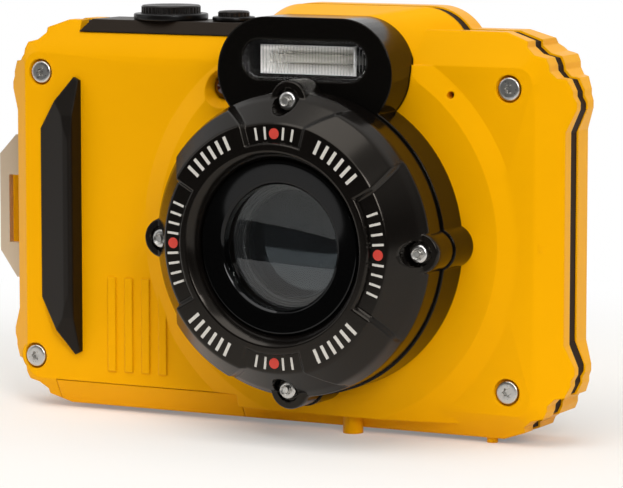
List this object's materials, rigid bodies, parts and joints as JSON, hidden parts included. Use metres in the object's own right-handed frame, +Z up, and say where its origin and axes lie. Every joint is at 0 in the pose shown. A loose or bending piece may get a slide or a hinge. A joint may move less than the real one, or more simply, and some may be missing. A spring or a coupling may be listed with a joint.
{
  "type": "rugged compact camera",
  "caption": "Shock-proof compact camera with a domed lens cover, built-in flash, armoured two-shell casing, hinged battery door and rear screen.",
  "frame": {"origin": "on the ground under the middle of the whole camera's box", "axes": "+Z up, the lens looks along -Y, +X to the right seen from the front"},
  "size_m": [0.1196, 0.038, 0.077],
  "materials": {
    "yellow_shell": "fine satin moulded plastic, warm yellow",
    "black_body": "black moulded plastic with a low sheen",
    "gloss_black": "polished black plastic",
    "dark_band": "dark brown elastomer, matt",
    "top_brown": "dark brown satin plastic",
    "grip_rubber": "black grip rubber",
    "lug_metal": "satin metal with a warm tone",
    "screw_steel": "satin steel",
    "spring_steel": "drawn steel wire",
    "button_metal": "satin anodised metal with a knurled edge",
    "collar_black": "glossy black ring",
    "clear_glass": "clear polished glass",
    "clear_plastic": "clear fluted plastic",
    "reflector_silver": "bright metallised plastic",
    "lamp_red": "dark red clear plastic",
    "barrel_black": "matt black inside the lens",
    "carriage_grey": "dark grey moulded plastic",
    "board_green": "green circuit board",
    "steel_plate": "bare sheet steel",
    "inner_plastic": "dark grey plastic",
    "cell_blue": "wrapped battery cell",
    "key_black": "black keys, satin",
    "seal_rubber": "grey silicone rubber",
    "brass_bush": "turned brass",
    "screen_glass": "dark polished display glass"
  },
  "bodies": {
    "casing": {"front_shell": "yellow_shell", "rear_shell": "yellow_shell", "seam_band": "dark_band", "top_panel": "top_brown", "shutter_collar": "collar_black", "power_collar": "collar_black", "shutter_spring": "spring_steel", "power_spring": "spring_steel", "top_board": "board_green", "lens_base": "black_body", "lens_cover": "black_body", "lens_window": "clear_glass", "window_ring": "gloss_black", "window_seal": "seal_rubber", "cover_screws": "screw_steel", "corner_screws": "screw_steel", "flash_window": "clear_plastic", "flash_reflector": "reflector_silver", "flash_tube": "clear_glass", "focus_lamp": "lamp_red", "microphone": "steel_plate", "hand_grip": "grip_rubber", "strap_lug": "lug_metal", "hinge_pin": "screw_steel", "battery": "cell_blue", "battery_holder": "inner_plastic", "card_socket": "steel_plate", "memory_card": "gloss_black", "usb_socket": "steel_plate", "main_board": "board_green", "chassis_plate": "steel_plate", "sensor_board": "board_green", "lens_barrel": "barrel_black", "front_element": "clear_glass", "lens_motors": "steel_plate", "guide_rods": "spring_steel", "flash_capacitor": "cell_blue", "speaker": "inner_plastic", "lcd_module": "steel_plate", "screen_window": "screen_glass", "keypad_membrane": "seal_rubber", "tripod_insert": "brass_bush"},
    "shutter": {"shutter_button": "button_metal"},
    "power": {"power_button": "button_metal"},
    "door": {"battery_door": "yellow_shell", "door_seal": "seal_rubber"},
    "lock": {"door_lock": "key_black"},
    "zoom_group": {"zoom_carriage": "carriage_grey"},
    "focus_group": {"focus_carriage": "carriage_grey"},
    "zoom_shaft": {"zoom_screw": "spring_steel"},
    "focus_shaft": {"focus_screw": "spring_steel"},
    "rocker": {"zoom_rocker": "key_black"},
    "arrow_up_key": {"arrow_up": "key_black"},
    "arrow_down_key": {"arrow_down": "key_black"},
    "arrow_left_key": {"arrow_left": "key_black"},
    "arrow_right_key": {"arrow_right": "key_black"},
    "ok_key": {"ok_button": "key_black"},
    "play_key": {"play_button": "key_black"},
    "record_key": {"record_button": "key_black"},
    "menu_key": {"menu_button": "key_black"}
  },
  "joints": [
    {"name": "shutter_press", "type": "slide", "parent": "casing", "child": "shutter", "axis": [0, 0, -1], "range_m": [0, 0.001], "stiffness_N_per_m": 1200, "springref_m": -0.0004, "deforming": ["shutter_spring"]},
    {"name": "power_press", "type": "slide", "parent": "casing", "child": "power", "axis": [0, 0, -1], "range_m": [0, 0.0006], "stiffness_N_per_m": 1500, "springref_m": -0.0004, "deforming": ["power_spring"]},
    {"name": "rocker_tilt", "type": "hinge", "parent": "casing", "child": "rocker", "pos_m": [-0.0309, 0.0158, 0.0612], "axis": [0, 0, 1], "range_deg": [-5, 5], "stiffness_Nm_per_rad": 0.05},
    {"name": "door_hinge", "type": "hinge", "parent": "casing", "child": "door", "pos_m": [-0.02465, 0.0146, 0.0024], "axis": [1, 0, 0], "range_deg": [0, 95]},
    {"name": "lock_slide", "type": "slide", "parent": "door", "child": "lock", "axis": [1, 0, 0], "range_m": [0, 0.0025]},
    {"name": "zoom_travel", "type": "slide", "parent": "casing", "child": "zoom_group", "axis": [0, 1, 0], "range_m": [0, 0.006]},
    {"name": "zoom_screw_turn", "type": "hinge", "parent": "casing", "child": "zoom_shaft", "pos_m": [0.01297, 0, 0.0481], "axis": [0, -1, 0], "range_deg": [-5, 2120]},
    {"name": "focus_travel", "type": "slide", "parent": "casing", "child": "focus_group", "axis": [0, -1, 0], "range_m": [0, 0.0025]},
    {"name": "focus_screw_turn", "type": "hinge", "parent": "casing", "child": "focus_shaft", "pos_m": [0.01297, 0, 0.0229], "axis": [0, 1, 0], "range_deg": [-5, 890]},
    {"name": "arrow_up_press", "type": "slide", "parent": "casing", "child": "arrow_up_key", "axis": [0, -1, 0], "range_m": [0, 0.0004], "stiffness_N_per_m": 1500, "springref_m": -0.0002},
    {"name": "arrow_down_press", "type": "slide", "parent": "casing", "child": "arrow_down_key", "axis": [0, -1, 0], "range_m": [0, 0.0004], "stiffness_N_per_m": 1500, "springref_m": -0.0002},
    {"name": "arrow_left_press", "type": "slide", "parent": "casing", "child": "arrow_left_key", "axis": [0, -1, 0], "range_m": [0, 0.0004], "stiffness_N_per_m": 1500, "springref_m": -0.0002},
    {"name": "arrow_right_press", "type": "slide", "parent": "casing", "child": "arrow_right_key", "axis": [0, -1, 0], "range_m": [0, 0.0004], "stiffness_N_per_m": 1500, "springref_m": -0.0002},
    {"name": "ok_press", "type": "slide", "parent": "casing", "child": "ok_key", "axis": [0, -1, 0], "range_m": [0, 0.0004], "stiffness_N_per_m": 1500, "springref_m": -0.0002},
    {"name": "play_press", "type": "slide", "parent": "casing", "child": "play_key", "axis": [0, -1, 0], "range_m": [0, 0.0004], "stiffness_N_per_m": 1500, "springref_m": -0.0002},
    {"name": "record_press", "type": "slide", "parent": "casing", "child": "record_key", "axis": [0, -1, 0], "range_m": [0, 0.0004], "stiffness_N_per_m": 1500, "springref_m": -0.0002},
    {"name": "menu_press", "type": "slide", "parent": "casing", "child": "menu_key", "axis": [0, -1, 0], "range_m": [0, 0.0004], "stiffness_N_per_m": 1500, "springref_m": -0.0002}
  ],
  "couplings": [
    {"joint": "zoom_screw_turn", "follows": "zoom_travel", "rad_per_m": 6100.2},
    {"joint": "focus_screw_turn", "follows": "focus_travel", "rad_per_m": 6100.2}
  ]
}
